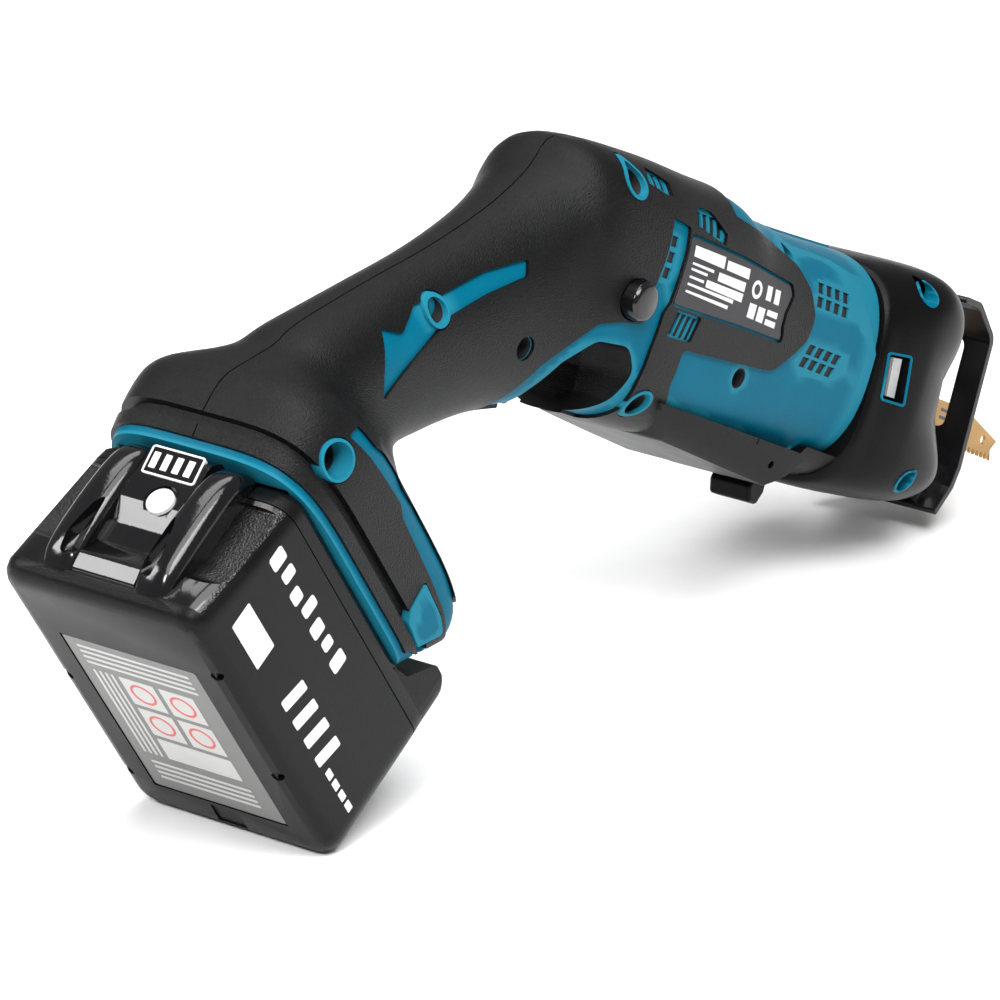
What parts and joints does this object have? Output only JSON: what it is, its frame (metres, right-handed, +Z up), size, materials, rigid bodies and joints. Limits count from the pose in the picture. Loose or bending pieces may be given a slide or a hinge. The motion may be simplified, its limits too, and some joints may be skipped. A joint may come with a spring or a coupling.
{
  "type": "reciprocating saw",
  "caption": "Compact cordless reciprocating saw with a bent pistol body, slide-on battery pack, pivoting shoe, clamped blade and a crank-driven slider.",
  "frame": {"origin": "centre of the bounding box, at the bench the tool stands on", "axes": "+X forwards (the way the blade points), +Y to the tool's left, +Z up; the blade points 26.75 degrees below +X"},
  "size_m": [0.469, 0.0826, 0.1773],
  "materials": {
    "teal_plastic": "satin moulded",
    "rubber": "fine-textured overmould",
    "black_plastic": "semi-matte moulded",
    "gloss_black": "gloss moulded",
    "steel": "ground",
    "black_steel": "gloss black oxide",
    "blade_coat": "gold-brown coating",
    "aluminium": "die cast",
    "copper": "wound copper and bronze",
    "white_plastic": "satin",
    "circuit": "coated board"
  },
  "bodies": {
    "case": {"housing_right": "teal_plastic", "housing_left": "teal_plastic", "case_screw_1": "black_steel", "case_screw_2": "black_steel", "case_screw_3": "black_steel", "case_screw_4": "black_steel", "case_screw_5": "black_steel", "case_screw_6": "black_steel", "grip_skin_right": "rubber", "grip_skin_left": "rubber", "crank_cover": "black_plastic", "switch_body": "black_plastic", "terminal_block": "black_plastic", "rating_plate": "black_plastic", "motor_yoke": "steel", "motor_rear_bearing": "steel", "motor_front_bearing": "steel", "carbon_brush_right": "black_steel", "carbon_brush_left": "black_steel", "gear_case": "aluminium", "crank_bearing": "steel", "slider_bush": "copper", "dust_seal": "rubber", "nose_cover": "rubber", "work_light": "white_plastic"},
    "armature": {"armature_shaft": "steel", "armature_core": "copper", "commutator": "copper", "cooling_fan": "black_plastic"},
    "crank": {"crank_gear": "steel"},
    "slider": {"slider_rod": "steel", "blade_clamp": "steel"},
    "sleeve": {"clamp_sleeve": "black_steel"},
    "saw_blade": {"blade": "blade_coat"},
    "trigger_lever": {"trigger": "black_plastic"},
    "lock_bar": {"lock_off_button": "black_plastic"},
    "shoe_slide_bar": {"shoe_arm": "steel", "shoe_pin": "steel"},
    "shoe": {"shoe_plate": "black_steel"},
    "shoe_lock": {"shoe_lever": "black_plastic"},
    "pack": {"pack_lower_case": "black_plastic", "pack_upper_case": "gloss_black", "cells_lower_row": "steel", "cells_upper_row": "steel", "cell_holder": "white_plastic", "pack_circuit_board": "circuit", "charge_gauge": "white_plastic", "pack_screw_1": "black_steel", "pack_screw_2": "black_steel", "pack_screw_3": "black_steel", "pack_screw_4": "black_steel"},
    "pack_release": {"pack_release_button": "black_plastic"},
    "check_button": {"charge_check_button": "white_plastic"}
  },
  "joints": [
    {"name": "blade_stroke", "type": "slide", "parent": "case", "child": "slider", "axis": [0.893, 0, -0.4501], "range_m": [-0.0065, 0.0065]},
    {"name": "crank_spin", "type": "hinge", "parent": "case", "child": "crank", "pos_m": [0.11335, 0, 0.08789], "axis": [0.4501, 0, 0.893], "continuous": true},
    {"name": "armature_spin", "type": "hinge", "parent": "case", "child": "armature", "pos_m": [0.03403, 0, 0.12159], "axis": [0.893, 0, -0.4501], "continuous": true},
    {"name": "clamp_sleeve_twist", "type": "hinge", "parent": "slider", "child": "sleeve", "pos_m": [0.15074, 0, 0.04877], "axis": [0.893, 0, -0.4501], "range_deg": [0, 70], "stiffness_Nm_per_rad": 0.02, "springref_deg": -17.19},
    {"name": "blade_release", "type": "slide", "parent": "slider", "child": "saw_blade", "axis": [0.893, 0, -0.4501], "range_m": [0, 0.06]},
    {"name": "trigger_pull", "type": "slide", "parent": "case", "child": "trigger_lever", "axis": [-0.399, 0, 0.9169], "range_m": [0, 0.006], "stiffness_N_per_m": 800, "springref_m": -0.003},
    {"name": "lock_off_push", "type": "slide", "parent": "case", "child": "lock_bar", "axis": [0, 1, 0], "range_m": [-0.003, 0.003]},
    {"name": "shoe_adjust", "type": "slide", "parent": "case", "child": "shoe_slide_bar", "axis": [0.893, 0, -0.4501], "range_m": [-0.004, 0.02]},
    {"name": "shoe_tilt", "type": "hinge", "parent": "shoe_slide_bar", "child": "shoe", "pos_m": [0.16092, 0, 0.01564], "axis": [0, 1, 0], "range_deg": [-4, 10]},
    {"name": "shoe_lock_lever", "type": "hinge", "parent": "case", "child": "shoe_lock", "pos_m": [0.0848, 0, 0.04013], "axis": [0, 1, 0], "range_deg": [-35, 0]},
    {"name": "pack_slide_off", "type": "slide", "parent": "case", "child": "pack", "axis": [0.5614, 0, -0.8276], "range_m": [0, 0.11]},
    {"name": "pack_release_press", "type": "slide", "parent": "pack", "child": "pack_release", "axis": [-0.5614, 0, 0.8276], "range_m": [0, 0.003], "stiffness_N_per_m": 600, "springref_m": -0.004},
    {"name": "charge_check_press", "type": "slide", "parent": "pack", "child": "check_button", "axis": [0.5614, 0, -0.8276], "range_m": [0, 0.0008], "stiffness_N_per_m": 700, "springref_m": -0.001}
  ],
  "couplings": [
    {"joint": "armature_spin", "follows": "crank_spin", "ratio": 4}
  ]
}
